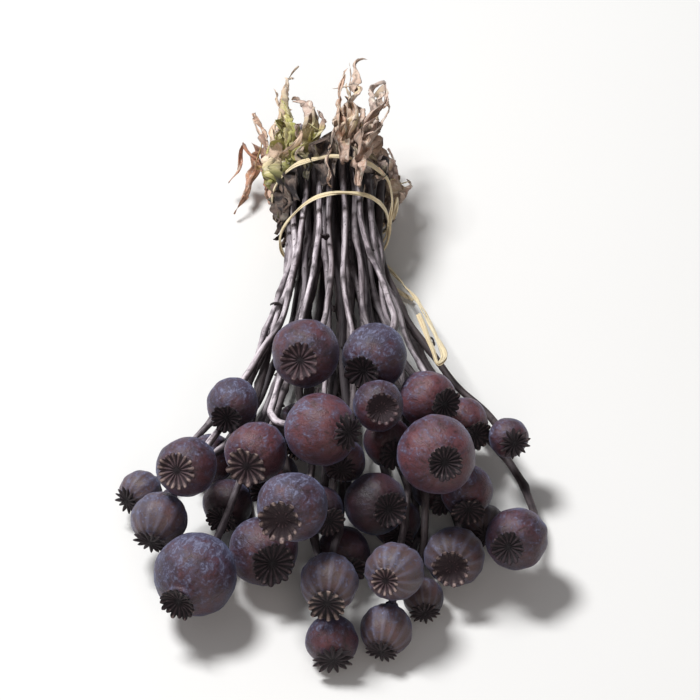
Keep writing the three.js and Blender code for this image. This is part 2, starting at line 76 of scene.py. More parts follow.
def ease(low, high, value):
    # 0 before low and 1 past high, with soft ends
    t = np.clip((value - low) / (high - low), 0, 1)
    return t * t * (3 - 2 * t)


def lengthsAlong(line):
    return np.r_[0, np.cumsum(norm(np.diff(line, axis=0), axis=1))]


def sampled(values, lengths, at):
    return np.stack([np.interp(at, lengths, column) for column in np.atleast_2d(values.T)], 1)


def evenly(line, count):
    # the same line with evenly spaced points
    lengths = lengthsAlong(line)
    at = np.linspace(0, lengths[-1], count)
    return sampled(line, lengths, at)


def curveThrough(points, count):
    # a smooth curve through the points
    points = np.asarray(points, float)
    chord = lengthsAlong(points)
    tangents = np.gradient(points, chord, axis=0)
    at = np.linspace(0, chord[-1], count * 4)
    i = np.clip(np.searchsorted(chord, at, side="right") - 1, 0, len(points) - 2)
    span = (chord[i + 1] - chord[i])[:, None]
    t = (at - chord[i])[:, None] / span
    curve = (2 * t**3 - 3 * t**2 + 1) * points[i] + (3 * t**2 - 2 * t**3) * points[i + 1]
    curve += (t**3 - 2 * t**2 + t) * span * tangents[i] + (t**3 - t**2) * span * tangents[i + 1]
    return evenly(curve, count)


def alongRoute(route, firstSide):
    # the way to the side and outward at each point, without twist
    forward = units(np.gradient(route, axis=0))
    sides = [firstSide]
    for ahead in forward:
        sides.append(unit(sides[-1] - ahead * sides[-1].dot(ahead)))
    sides = np.array(sides[1:])
    return sides, np.cross(forward, sides)


def waves(points, size, seed, count=9):
    # soft random lumps of about that size, from -1 to 1
    draw = np.random.default_rng(seed)
    total = np.zeros(points.shape[:-1])
    for _ in range(count):
        way = unit(draw.normal(size=points.shape[-1])) * draw.uniform(0.6, 1.5) / size
        total += np.sin(points @ way * turn / 2 + draw.uniform(0, turn))
    return total / math.sqrt(count)


def inScene(name, data):
    made = bpy.data.objects.new(name, data)
    bpy.context.scene.collection.objects.link(made)
    return made


# A piece is made of grids of points. Each point has a spot in its pattern, marks and a tint for its finish.

class Shell:
    def __init__(self):
        self.faces, self.finishes = [], []
        self.notes = {"place": [], "spot": [], "marks": [], "tint": []}
        self.count = 0

    def grid(self, points, finish, spot, marks, tint):
        # quads between the rows of a tube, with a fan over each end
        rows, columns = points.shape[:2]
        row = np.arange(rows - 1)[:, None] * columns
        column = np.arange(columns)
        ahead = (column + 1) % columns
        quads = joined(row + column, row + ahead, row + columns + ahead, row + columns + column)
        faces = (quads.reshape(-1, 4) + self.count).tolist()
        last = rows * columns
        rims = [column, last - columns + column]
        for end, rim in enumerate(rims):
            fan = joined(rim, rim[0] + ahead, last + end)
            faces += (fan + self.count).tolist()
        for key, value in (("place", keptAbove(points, 0)), ("spot", spot), ("marks", marks), ("tint", tint)):
            flat = np.broadcast_to(value, points.shape).reshape(-1, 3)
            self.notes[key] += [flat] + [flat[rim].mean(0) for rim in rims]
        self.faces += faces
        self.finishes += [finish] * len(faces)
        self.count += last + len(rims)

    def piece(self, name, finishes, node):
        # the mesh itself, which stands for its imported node
        mesh = bpy.data.meshes.new(name)
        mesh.from_pydata(np.vstack(self.notes.pop("place")).tolist(), [], self.faces)
        mesh.polygons.foreach_set("material_index", self.finishes)
        mesh.polygons.foreach_set("use_smooth", [True] * len(self.faces))
        for key, value in self.notes.items():
            note = mesh.attributes.new(key, "FLOAT_VECTOR", "POINT")
            note.data.foreach_set("vector", np.vstack(value).ravel())
        for finish in finishes:
            mesh.materials.append(finish)
        solid = bmesh.new()
        solid.from_mesh(mesh)
        bmesh.ops.recalc_face_normals(solid, faces=solid.faces)
        solid.to_mesh(mesh)
        solid.free()
        made = inScene(name, mesh)
        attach(made, "root")
        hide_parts(node)


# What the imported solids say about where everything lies

def weldedNode(name):
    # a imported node's corners, and each corner's neighbours
    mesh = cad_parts[name].data
    corners = np.empty(len(mesh.vertices) * 3, np.float32)
    mesh.vertices.foreach_get("co", corners)
    corners = corners.reshape(-1, 3).astype(float)
    _, first, welded = np.unique(np.round(corners, 6), axis=0, return_index=True, return_inverse=True)
    neighbours = [set() for _ in first]
    welded = welded.reshape(-1)
    for polygon in mesh.polygons:
        a, b, c = welded[list(polygon.vertices)]
        neighbours[a] |= {b, c}
        neighbours[b] |= {a, c}
        neighbours[c] |= {a, b}
    return corners[first], neighbours


def layersFrom(start, neighbours):
    # rings of corners, each next to the one before
    seen = set(start)
    layer = set(start)
    while layer:
        yield sorted(layer)
        layer = set().union(*(neighbours[k] for k in layer)) - seen
        seen |= layer


crownShares = {"middle": 1.03, "reach": 1.13, "collar": 1.1}  # along the capsule's axis, in its radii
neckStraight = 8 * mm
footReach = 4.5 * mm  # all corners round a packed stalk's foot lie within this
stalkSides = 5


def readStalk(name):
    # a stalk's capsule, crown and middle line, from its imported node
    corners, neighbours = weldedNode(name)
    pole = max(range(len(corners)), key=lambda k: len(neighbours[k]))
    rim = corners[sorted(neighbours[pole])]
    reach = norm(rim - corners[pole], axis=1)
    tips = rim[reach > reach.mean()]
    dip = tips.mean(0) - corners[pole]
    axis = unit(dip)
    radius = norm(dip) / (crownShares["reach"] - crownShares["middle"])
    middle = corners[pole] - axis * crownShares["middle"] * radius
    foot = np.argmax(norm(corners - corners[pole], axis=1))
    near = norm(corners - corners[foot], axis=1) < footReach
    line, widths = [], []
    for layer in layersFrom(np.flatnonzero(near).tolist(), neighbours):
        if len(layer) != stalkSides:
            break
        ring = corners[layer]
        line.append(ring.mean(0))
        widths.append(norm(ring - ring.mean(0), axis=1).mean())
    base = middle - axis * crownShares["collar"] * radius
    if norm(line[-1] - base) > neckStraight * 1.3:
        line.append(base - axis * neckStraight)
    line += [base, middle - axis * 0.8 * radius]
    return {
        "name": name,
        "middle": middle,
        "axis": axis,
        "side": unit(tips[0] - tips.mean(0)),
        "radius": radius,
        "disc": norm(tips - tips.mean(0), axis=1).mean(),
        "rays": len(tips),
        "line": np.array(line),
        "foot": widths[0],
        "neck": widths[-1],
    }


def packedNames(start):
    return sorted(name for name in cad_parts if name.startswith(start))


stalks = [readStalk(name) for name in packedNames("stalk_")]
print("read", len(stalks), "stalks from the frame")


def readLeaf(name):
    # a leaf's rows from the tie to its tip: middle, way across and corners
    corners, neighbours = weldedNode(name)
    foot = np.flatnonzero(corners[:, 1] < corners[:, 1].min() + 0.01 * mm).tolist()
    rows = []
    for layer in layersFrom(foot, neighbours):
        ring = corners[layer]
        middle = ring.mean(0)
        side = np.linalg.svd(ring - middle)[2][0]
        if rows and side.dot(rows[-1][1]) < 0:
            side = -side
        rows.append((middle, side, ring))
    return rows


leafRows = {name: readLeaf(name) for name in packedNames("leaf_")}


def fitWaist():
    # the middle of the ring that the leaves' feet stand on
    feet = np.array([rows[0][0] for rows in leafRows.values()])
    flat = feet[:, [0, 2]]
    table = np.c_[2 * flat, np.ones(len(flat))]
    x, z, _ = np.linalg.lstsq(table, (flat**2).sum(1), rcond=None)[0]
    return np.array([x, feet[0, 1], z])


waist = fitWaist()


# The seed heads, by the way they look in the photograph

headLooks = {
    "veryBlue": [2, 13, 3, 14],  # thick blue wax
    "ruddy": [6, 7, 4, 9, 31, 32],  # rubbed, reddish
    "greyRibbed": [12, 18, 20, 21, 22, 24, 26, 30],  # weathered, with ribs that show
    "fingered": [4, 8, 12, 19, 21, 24, 16, 26, 30],  # crowns with long loose rays
    "cupped": [5, 14, 22, 35],  # crowns whose rim turns up
    "paleCrown": [1, 5, 9, 10, 14, 20, 22],
    "wornTips": [9, 10, 14, 18, 20, 22, 35],  # rays with pale ends
    "shaded": [17, 24, 26, 27, 28, 29, 31, 33, 34, 35, 36],  # deep in the heap: painted shade, dark and with hardly any wax
}

capsule = {
    "columns": 72,
    "rows": 50,
    # its outline from the collar to under the crown: shares of its radius across and along
    "outline": [(0.12, -1.17), (0.22, -1.165), (0.262, -1.125), (0.255, -1.08), (0.2, -1.03),
                (0.195, -0.985), (0.32, -0.93), (0.56, -0.81), (0.78, -0.6), (0.93, -0.32),
                (0.985, -0.02), (0.965, 0.24), (0.86, 0.51), (0.68, 0.74), (0.5, 0.865),
                (0.37, 0.92), (0.335, 0.96), (0.33, 1.0), (0.2, 1.01)],
    "swells": 0.028,  # how far its sides are out of round, in its radii
    "dents": 0.012,
    "ribs": 0.006,  # depth of the furrows between ribs that hardly show
    "deepRibs": 0.026,
    "poreDepth": 0.012,
    "poresAt": 0.84,  # along its axis
    "poreWidth": 0.05,
    # amounts for all heads, and what some looks add
    "wax": {"all": 0.1, "veryBlue": 0.24, "ruddy": -0.06, "shaded": -0.2},
    "redness": {"all": 0.35, "ruddy": 0.45, "veryBlue": -0.1},
    "greyness": {"all": 0.12, "greyRibbed": 0.63},
    # painted light: more blue wax on the sides that face the overhead lamp
    "paintedSkyLight": 0.2,
    "waxAtStem": 0.34,
    # painted shade on the sides that face away from the overhead lamp
    "shadeBelow": 1.3,
}
skyward = unit(np.array([-0.5, 0.25, 0.83]))  # the way to the overhead lamp: sides that face it get painted light, more blue wax on the capsules and painted highlights on the stems


def amountFor(number, amounts):
    return amounts["all"] + sum(amounts.get(look, 0) for look, heads in headLooks.items() if number in heads)


def headTurn(stalk):
    # the capsule's own axes
    return np.stack([stalk["side"], np.cross(stalk["axis"], stalk["side"]), stalk["axis"]])


def onHead(stalk, local):
    # points that are given in the capsule's own radii
    return stalk["middle"] + stalk["radius"] * (local @ headTurn(stalk))


def addCapsule(shell, stalk, number, rays):
    outline = curveThrough(capsule["outline"], capsule["rows"])
    out, along = outline[:, :1], outline[:, 1:]
    angle = anglesRound(capsule["columns"])
    local = joined(out * np.cos(angle), out * np.sin(angle), along)
    body = ease(-1.0, -0.8, along) * ease(0.99, 0.9, along)
    rib = np.cos(angle * rays)[None, :]
    shoulder = 0.45 + 0.55 * np.abs(along) ** 1.5
    depth = capsule["deepRibs" if number in headLooks["greyRibbed"] else "ribs"]
    swell = capsule["swells"] * waves(local, 1.0, number) + capsule["dents"] * waves(local, 0.33, number + 50)
    pores = bell((along - capsule["poresAt"]) / capsule["poreWidth"]) * ease(-0.2, -0.9, rib)
    grown = 1 + body * (swell + depth * shoulder * (rib - 1)) - capsule["poreDepth"] * pores
    local[..., :2] *= grown[..., None]
    # painted light: the sides that face the overhead lamp get more blue wax
    lit = units(local) @ headTurn(stalk) @ skyward
    waxAndSkyLight = amountFor(number, capsule["wax"]) + capsule["paintedSkyLight"] * lit
    waxAndSkyLight = waxAndSkyLight + capsule["waxAtStem"] * ease(0.6, -0.5, along)
    tint = joined(waxAndSkyLight, amountFor(number, capsule["redness"]), amountFor(number, capsule["greyness"]))
    # darker in the pore dents and on the neck
    poresNeckAndShade = np.maximum(pores, ease(-0.97, -1.04, along))
    # painted shade on the sides that face away from the overhead lamp
    poresNeckAndShade = np.maximum(poresNeckAndShade, capsule["shadeBelow"] * ease(0.25, -0.75, lit))
    marks = joined(rib * shoulder, poresNeckAndShade, float(number in headLooks["shaded"]))
    spot = local * stalk["radius"] / inPattern + number * 7.3
    shell.grid(onHead(stalk, local), 0, spot, marks, tint)


crown = {
    "stepsEachRay": 10,
    "rowsOnTop": 15,
    "rowsBelow": 6,
    "raysForEachPacked": 1.6,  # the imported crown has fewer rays, for its triangles
    "thickness": 0.05,  # at the rim, in the capsule's radii
    "ridge": 0.05,
    "unevenRays": (-0.07, 0.05),
    "lean": 0.12,
    "droop": 0.04,
    "wornEnds": (0.6, 0.8),  # how pale the rays' ends are
    "soundEnds": (0.0, 0.35),
    "toothed": {"notch": 0.17, "wide": 3.2, "lift": 0.1, "curl": 0.05},
    "fingered": {"notch": 0.46, "wide": 1.5, "lift": 0.05, "curl": -0.06},
    "cupped": {"notch": 0.16, "wide": 3.2, "lift": 0.16, "curl": 0.16},
}


def addCrown(shell, stalk, number, rays):
    # a dish of raised rays whose blunt ends stand out round its rim
    style = crown[next((look for look in ("fingered", "cupped") if number in headLooks[look]), "toothed")]
    draw = np.random.default_rng(number + 900)
    columns = rays * crown["stepsEachRay"]
    sector = np.arange(columns) / crown["stepsEachRay"]
    ray = np.round(sector).astype(int) % rays
    gap = np.abs((sector - np.round(sector)) * 2)  # 0 along a ray, and 1 in the gaps on either side of it
    longer = 1 + draw.uniform(*crown["unevenRays"], rays)
    lean = draw.uniform(-crown["lean"], crown["lean"], rays)
    droop = draw.uniform(-crown["droop"], crown["droop"], rays)
    disc = stalk["disc"] / stalk["radius"]
    notch = style["notch"] * gap ** style["wide"] / (1 + 0.4 * gap ** style["wide"]) * 1.4
    rim = disc * longer[ray] * (1 - notch)
    angle = (sector + lean[ray] * 0.5 * (1 - gap)) * turn / rays
    onTop = np.linspace(0.05, 1, crown["rowsOnTop"])[:, None]
    below = np.linspace(1, 0.3, crown["rowsBelow"])[:, None]
    ridge = bell(gap / 0.46) - 0.3 * bell(gap / 0.15)
    fade = ease(0.06, 0.35, onTop) * (1 - 0.45 * ease(0.86, 1.0, onTop))
    dish = crownShares["middle"] + style["lift"] * onTop ** 1.7
    curl = (style["curl"] + droop[ray]) * ease(0.6, 1.05, onTop)
    boss = 0.03 * bell(onTop / 0.12)
    relief = ridge * fade - 0.35 * ease(0.3, 0.9, onTop) * gap
    heights = dish + curl + boss + crown["ridge"] * relief
    edge = heights[-1]
    under = edge - crown["thickness"] - (1 - below) * (edge - crown["thickness"] - 0.97)
    out = np.vstack([onTop * rim, 1.015 * rim[None, :], below * rim])
    along = np.vstack([heights, (edge - 0.5 * crown["thickness"])[None, :], under])
    local = joined(out * np.cos(angle), out * np.sin(angle), along)
    local[..., 2] += 0.012 * waves(local, 0.22, number + 300)
    isTop = np.r_[np.ones(crown["rowsOnTop"]), 0.8, np.zeros(crown["rowsBelow"])][:, None]
    share = np.vstack([onTop, [[1.0]], below])
    tip = ease(0.5, 0.95, share) * (1 - ease(0.1, 0.62, gap)) * (0.3 + 0.7 * isTop)
    raised = np.clip(ridge, 0, 1) * ease(0.05, 0.4, share) * isTop
    worn = draw.uniform(*crown["wornEnds" if number in headLooks["wornTips"] else "soundEnds"])
    tint = (number in headLooks["fingered"], worn, number in headLooks["paleCrown"])
    spot = local * stalk["radius"] / inPattern + number * 3.1
    shell.grid(onHead(stalk, local), 1, spot, joined(tip, raised, share), tint)


stem = {
    "columns": 16,
    "step": 2 * mm,
    "rounding": 5,  # samples a millimetre apart that each bend is rounded over
    "fullness": (0.98, 0.66),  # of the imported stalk's corners, for the lowest and the highest stems
    "jointChance": 0.62,  # at each bend
    "jointFromTie": 16 * mm,
    "jointFromHead": 22 * mm,
    "jointSwelling": 0.42,
    "jointLength": 2.3 * mm,
    "wander": 0.6 * mm,
    "kink": 1.3 * mm,  # sideways at a joint
    "fixedEnds": 20 * mm,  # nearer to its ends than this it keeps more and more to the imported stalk
    "hollow": 0.55,  # of the stalk's radius, at the cut
    "hollowDepth": 4 * mm,
    "slant": 0.5 * mm,  # of the cut
    "scrapChance": 0.4,
    "scrapLength": (3, 6.5),  # millimetres
    "litSides": (0.15, 0.9),  # how far a side must face the overhead lamp to get painted light
    "litAt": 40 * mm,  # stems are sorted by their height here: those on top get painted light, the lower ones painted shade
    "stemShadeEnds": (66 * mm, 33 * mm),  # painted shade, from the cut ends; nearer to them it is full
}


def stemRoute(stalk):
    # straight from bend to bend, as a dry stalk grows, with each bend rounded a little
    line = stalk["line"]
    fine = evenly(line, int(lengthsAlong(line)[-1] / mm) + 1)
    half = stem["rounding"] // 2
    padded = np.vstack([fine[:1]] * half + [fine] + [fine[-1:]] * half)
    window = np.ones(stem["rounding"]) / stem["rounding"]
    return np.stack([np.convolve(padded[:, k], window, "valid") for k in range(3)], 1)


def jointsOf(stalk, draw, lengths):
    # where old leaves grew: at most of the bends, away from the tie and the capsule
    corners = lengthsAlong(stalk["line"])[1:-2]
    furthest = lengths[-1] - stem["jointFromHead"]
    return [place + draw.uniform(-2, 2) * mm for place, point in zip(corners, stalk["line"][1:-2])
            if point[1] < waist[1] - stem["jointFromTie"] and draw.random() < stem["jointChance"]
            and place < furthest]


def heightAt(stalk, y):
    line = stalk["line"][np.argsort(stalk["line"][:, 1])]
    return np.interp(y, line[:, 1], line[:, 2])


def addStem(shell, stalk, number):
    draw = np.random.default_rng(number + 400)
    route = stemRoute(stalk)
    count = int(lengthsAlong(route)[-1] / stem["step"])
    route = evenly(route, count)
    lengths = lengthsAlong(route)
    free = ease(0, stem["fixedEnds"], lengths) * ease(0, stem["fixedEnds"], lengths[-1] - lengths)
    spotted = joined(lengths, number * 0.37)
    joints = jointsOf(stalk, draw, lengths)
    for k in range(3):
        route[:, k] += stem["wander"] * free * waves(spotted, 22 * mm, number * 3 + k)
        kinks = [draw.uniform(-1, 1) * stem["kink"] for _ in joints]
        if joints:
            route[:, k] += free * np.interp(lengths, [0, *joints, lengths[-1]], [0, *kinks, 0])
    sides, outs = alongRoute(route, np.array([1.0, 0.1, 0.2]))
    angle = anglesRound(stem["columns"])
    cosine, sine = np.cos(angle), np.sin(angle)
    share = lengths / lengths[-1]
    heights = [heightAt(other, stem["litAt"]) for other in stalks]
    lower = sum(height < heights[number - 1] for height in heights) / len(stalks)
    slimmer = ease(0.35, 0.65, lower) * ease(1.0, 0.6, share)
    slimmer = slimmer * ease(18 * mm, 34 * mm, lengths)
    full, slim = stem["fullness"]
    thick = (stalk["foot"] + (stalk["neck"] - stalk["foot"]) * share) * (full + (slim - full) * slimmer)
    furrows = waves(joined(cosine * 1.7, sine * 1.7, (lengths / (45 * mm))[:, None]), 0.8, number + 60)
    radius = thick[:, None] * (1 + 0.07 * furrows + 0.05 * waves(spotted, 9 * mm, number + 70)[:, None])
    joint = np.zeros(radius.shape)
    scraps = []
    for place in joints:
        facing = draw.uniform(0, turn)
        near = bell((lengths - place) / stem["jointLength"])[:, None]
        joint = np.maximum(joint, near * (0.65 + 0.35 * np.cos(angle - facing)))
        if draw.random() < stem["scrapChance"]:
            scraps.append((place, facing, draw.uniform(*stem["scrapLength"]) * mm, draw.uniform(-1, 1)))
    radius *= 1 + stem["jointSwelling"] * joint
    ring = cosine[:, None] * sides[:, None] + sine[:, None] * outs[:, None]
    tube = route[:, None] + radius[..., None] * ring
    ahead = unit(route[1] - route[0])
    lip = route[0] + stem["slant"] * draw.uniform(-1, 1) * cosine[:, None] * ahead
    hollow = stem["hollow"] * radius[:1, :, None] * ring[:1]
    foot = [lip + ahead * stem["hollowDepth"] + 0.8 * hollow, lip + ahead * 0.2 * mm + hollow,
            lip - ahead * 0.1 * mm + 1.25 * hollow, lip + 0.96 * radius[:1, :, None] * ring[:1]]
    points = np.vstack([*foot, tube[1:]])
    cut = np.r_[1.0, 0.9, 0.5, 0.35, np.zeros(count - 1)][:, None]
    # the bottom of the hollow, which is painted dark as shade
    depth = np.r_[1.0, 0.3, np.zeros(count + 1)][:, None]
    pad = lambda rows: np.vstack([rows[:1]] * 4 + [rows[1:]])
    # painted shade over the stems nearest the cut ends, deepest in the furrows
    stemShade = ease(*stem["stemShadeEnds"], lengths)[:, None] * np.clip(0.75 + 0.6 * furrows, 0, 1)
    marks = joined(pad(joint) * (1 - cut), pad(furrows), cut + depth - pad(stemShade) * (cut == 0))
    spot = pad(joined(cosine * radius, sine * radius, lengths[:, None])) / inPattern + number * 5.7
    # painted light and shade: the stems higher in the bunch are lighter, most on the sides that face the
    # overhead lamp
    paintedLight = np.clip(lower * 1.25 - 0.36 + draw.uniform(-0.35, 0.2), 0, 1)
    lit = ease(*stem["litSides"], ring @ skyward)
    warm = draw.uniform(0, 1)
    shell.grid(points, 2, spot, marks, joined(warm, paintedLight * pad(lit), 0.0))
    for place, facing, length, bend in scraps:
        k = int(np.searchsorted(lengths, place))
        outward = math.cos(facing) * sides[k] + math.sin(facing) * outs[k]
        addScrap(shell, route[k], route[min(k + 1, count - 1)] - route[k], outward, length, bend, number)


def addScrap(shell, start, ahead, outward, length, bend, number):
    # the shrivelled foot of an old leaf, left on its joint
    share = np.linspace(0, 1, 10)[:, None]
    ahead = unit(ahead)
    across = np.cross(ahead, outward)
    reach = 0.8 * mm + length * (0.5 * np.sin(share * 2.2) + 0.1 * share)
    route = start + outward * reach + ahead * length * (bend * share - 0.3 * share**2)
    route += across * length * 0.25 * np.sin(share * 4 + number) * share
    sides, outs = alongRoute(route, across)
    angle = anglesRound(10)
    wide = 0.2 * mm + length * 0.2 * (1 - share) ** 0.7 * (1 + 0.4 * np.sin(share * 14 + number))
    ring = wide[..., None] * np.cos(angle)[:, None] * sides[:, None]
    ring = ring + 0.5 * wide[..., None] * np.cos(angle)[:, None] ** 2 * outs[:, None]
    ring += (0.2 * mm + 0.2 * wide[..., None]) * np.sin(angle)[:, None] * outs[:, None]
    points = keptAbove(route[:, None] + ring, 0.3 * mm)
    shell.grid(points, 2, points / inPattern, joined(1 - 0.5 * share, 0, 0), (0.2, 0.2, 1))


# The raffia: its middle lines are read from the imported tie, a chain of small rings with a knot

raffia = {
    "step": 0.9 * mm,
    "fibres": 3,
    "columns": 10,
    "width": 0.62 * mm,  # half the width of one fibre
    "thickness": 0.2 * mm,
    "spread": 0.42 * mm,
    "widerAt": 34 * mm,  # from the loop's end, where one fibre opens out
    "ringEdge": 1.15 * mm,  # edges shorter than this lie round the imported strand
    "turnReach": 32 * mm,  # only the turns stay nearer than this to the middle of the waist
    "knotTurns": 3.4,
    "knotSize": (2.0 * mm, 3.4 * mm, 2.5 * mm),
}


def ringsOf(corners, neighbours):
    # corners joined by short edges, as groups
    isNear = lambda a, b: norm(corners[a] - corners[b]) < raffia["ringEdge"]
    near = [{b for b in others if isNear(a, b)} for a, others in enumerate(neighbours)]
    group = np.full(len(corners), -1)
    groups = []
    for start in range(len(corners)):
        if group[start] < 0:
            groups.append(sum(layersFrom([start], near), []))
            group[groups[-1]] = len(groups) - 1
    beside = [{group[o] for k in members for o in neighbours[k]} - {g} for g, members in enumerate(groups)]
    return groups, beside


def readTie():
    # the strand's stretches, longest first, and the middle of the knot
    corners, neighbours = weldedNode("raffia_tie")
    groups, beside = ringsOf(corners, neighbours)
    isRing = [len(members) == stalkSides for members in groups]
    middles = np.array([corners[members].mean(0) for members in groups])
    used = set()
    lines = []
    for start in sorted(range(len(groups)), key=lambda g: sum(isRing[b] for b in beside[g])):
        if isRing[start] and start not in used:
            chain = [start]
            while True:
                used.add(chain[-1])
                onward = [b for b in beside[chain[-1]] if isRing[b] and b not in used]
                if not onward:
                    break
                chain.append(min(onward, key=lambda b: norm(middles[b] - middles[chain[-1]])))
            lines.append(middles[chain])
    knot = middles[max(range(len(groups)), key=lambda g: len(groups[g]))]
    return sorted(lines, key=len, reverse=True), knot


def addFibres(shell, line, seed, outwardAt, widenAt=None):
    # thin flat fibres that run side by side and cross now and then
    count = int(lengthsAlong(line)[-1] / raffia["step"]) + 2
    middle = curveThrough(line, count)
    lengths = lengthsAlong(middle)
    forward = units(np.gradient(middle, axis=0))
    across = units(np.cross(forward, outwardAt(middle)))
    outward = np.cross(across, forward)
    angle = anglesRound(raffia["columns"])
    cosine, sine = np.cos(angle), np.sin(angle)
    for fibre in range(raffia["fibres"]):
        notes = joined(lengths, fibre * 0.05 + seed)
        sway = waves(notes, 16 * mm, seed + fibre)[:, None] + (fibre - 1) * 0.9
        lift = waves(notes, 11 * mm, seed + fibre + 20)[:, None] * 0.6 + (fibre % 2) * 0.6
        tilt = 0.5 * waves(notes, 14 * mm, seed + fibre + 40)
        route = middle + raffia["spread"] * (sway * across + lift * outward)
        wide = raffia["width"] * (1 + 0.25 * waves(notes, 7 * mm, seed + fibre + 60))
        if widenAt and fibre == 1:
            wide = wide * (1 + 1.5 * bell((lengths - widenAt) / (7 * mm)))
        flat = wide[:, None] * cosine
        thick = raffia["thickness"] * sine * (1 + 0.3 * np.cos(angle * 5))
        level, steep = np.cos(tilt)[:, None], np.sin(tilt)[:, None]
        side = (flat * level - thick * steep)[..., None] * across[:, None]
        over = (flat * steep + thick * level)[..., None] * outward[:, None]
        marks = joined(cosine * (wide[:, None] / raffia["width"]), 0, 0)
        spot = joined(flat, thick, lengths[:, None] + seed) / inPattern
        shell.grid(route[:, None] + side + over, 0, spot, marks, (fibre / 2, 0.5, 0))


def awayFromWaist(points):
    # outward from the middle of the tied stalks
    away = points - waist
    away[:, 1] = 0
    return units(away)


def roundTheWaist(start, end):
    # places on the way from one point to another round the stalks
    polar = [(math.atan2(p[2], p[0]), math.hypot(p[0], p[2]), p[1]) for p in (start - waist, end - waist)]
    (angle, out, along), (lastAngle, lastOut, lastAlong) = polar
    share = np.linspace(0, 1, 7)[1:-1]
    angles = angle + ((lastAngle - angle + math.pi) % turn - math.pi) * share
    outs = out + (lastOut - out) * share
    places = joined(outs * np.cos(angles), along + (lastAlong - along) * share, outs * np.sin(angles))
    return waist + places


def towards(place, line):
    # the line, with its end at the place rather than its start
    first, last = norm(line[0] - place), norm(line[-1] - place)
    return line if last < first else line[::-1]


def makeTie(finish):
    shell = Shell()
    lines, knot = readTie()
    isTurn = lambda line: norm(line - waist, axis=1).max() < raffia["turnReach"]
    lower, upper = sorted([line for line in lines if isTurn(line)][:2], key=lambda line: line[:, 1].mean())
    loop, tail = [towards(knot, line) for line in lines if not isTurn(line)][:2]
    lower = towards(knot, lower)
    upper = towards(lower[0], upper)
    toStart = roundTheWaist(knot, lower[0])
    addFibres(shell, np.vstack([upper, toStart[::-1], knot]), 3, awayFromWaist)
    addFibres(shell, np.vstack([lower, knot, toStart, lower[:1]]), 11, awayFromWaist)
    sideways = lambda points: np.broadcast_to(unit(np.array([0.5, -0.2, 0.84])), points.shape)
    addFibres(shell, np.vstack([loop, knot]), 23, sideways, raffia["widerAt"])
    addFibres(shell, np.vstack([tail, knot]), 37, sideways)
    share = np.linspace(0, 1, 46)
    swing = share * turn * raffia["knotTurns"]
    tumble = 0.9 * np.sin(share * turn * 0.8)
    ball = joined(np.cos(swing), np.sin(swing) * np.cos(tumble), np.sin(swing) * np.sin(tumble))
    turned = knot + ball[:, [2, 0, 1]] * raffia["knotSize"]
    addFibres(shell, turned, 51, lambda points: units(points - knot + 1e-6))
    shell.piece("tie_of_raffia", [finish], "raffia_tie")


# The withered leaves

leaf = {
    "step": 1.0 * mm,
    "columns": 22,  # on each face
    "thickness": 0.42 * mm,
    "crumple": 1.5 * mm,
    "crease": 1.1 * mm,
    "pucker": 0.45 * mm,
    "ragged": 0.3,
    "tear": 0.6,
    "roll": 1.1,  # how far the last part of each side rolls in, in radians
    "foot": 0.3,  # width of the foot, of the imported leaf's
    "footLength": 17 * mm,
    # torn strips beside each leaf: where along it each may start and end
    "shreds": [((0.12, 0.3), (0.7, 1.0)), ((0.1, 0.25), (0.55, 0.8)), ((0.05, 0.15), (0.3, 0.42)),
               ((0.08, 0.2), (0.35, 0.5))],
    "shredAside": 8 * mm,
    "shredWidth": (0.35, 0.6),  # of the leaf's
    # withered feet that hang past the tie: degrees round the stalks from the leaf's own place, then in
    # millimetres half the width, reach past the tie and distance from the middle, and how dark it is
    "flaps": {
        "leaf_looped_right": [(0, 4.4, 7.5, 26.3, 0.15)],
        "leaf_tall_right": [(-6, 4.0, -4, 26.3, 0.3)],
        "leaf_olive_middle": [(-17, 5, 5, 22, 1.0), (-22, 1.3, 7, 23.4, 0.0)],
        "leaf_curled_left": [(-12, 4, 8, 21.4, 1.0), (1, 2.6, 10, 21.6, 0.8), (14, 3.4, 9, 21.2, 1.0)],
        "leaf_olive_left": [(-6, 3.6, 11, 21.2, 0.9), (7, 2.8, 9, 21.6, 1.0), (22, 3.2, 7, 21, 0.9)],
    },
    "flapTint": (0.1, 0.6, 0.4),
    "tips": {"leaf_hanging_left": "broad", "leaf_curled_left": "slender", "leaf_tall_right": "slender"},
    "strands": 4,  # thin curled strands beside each leaf
    "strandFrom": (0.1, 0.6),
    "strandLength": (5 * mm, 12 * mm),
    "strandWidth": (0.6 * mm, 1.2 * mm),
    # how much a shred's and a strand's tint may differ from the leaf's
    "shredTint": 0.35,
    "strandTint": 0.4,
    # olive, reddish brown and grey, from 0 to 1; what is left is tan
    "leaf_brown_right": (0.15, 0.45, 0.5),
    "leaf_looped_right": (0.1, 0.2, 0.6),
    "leaf_tall_right": (0.1, 0.35, 0.45),
    "leaf_olive_middle": (0.6, 0.45, 0.6),
    "leaf_curled_left": (0.95, 0.1, 0.0),
    "leaf_olive_left": (1.0, 0.1, 0.1),
    "leaf_hanging_left": (0.0, 0.8, 0.0),
    "leaf_tan_left": (0.0, 0.6, 0.1),
    "leaf_under_left": (0.1, 0.6, 0.6),
    "leaf_under_right": (0.1, 0.5, 0.6),
    "leaf_low_right": (0.2, 0.4, 0.5),
    "leaf_side_right": (0.2, 0.4, 0.4),
}


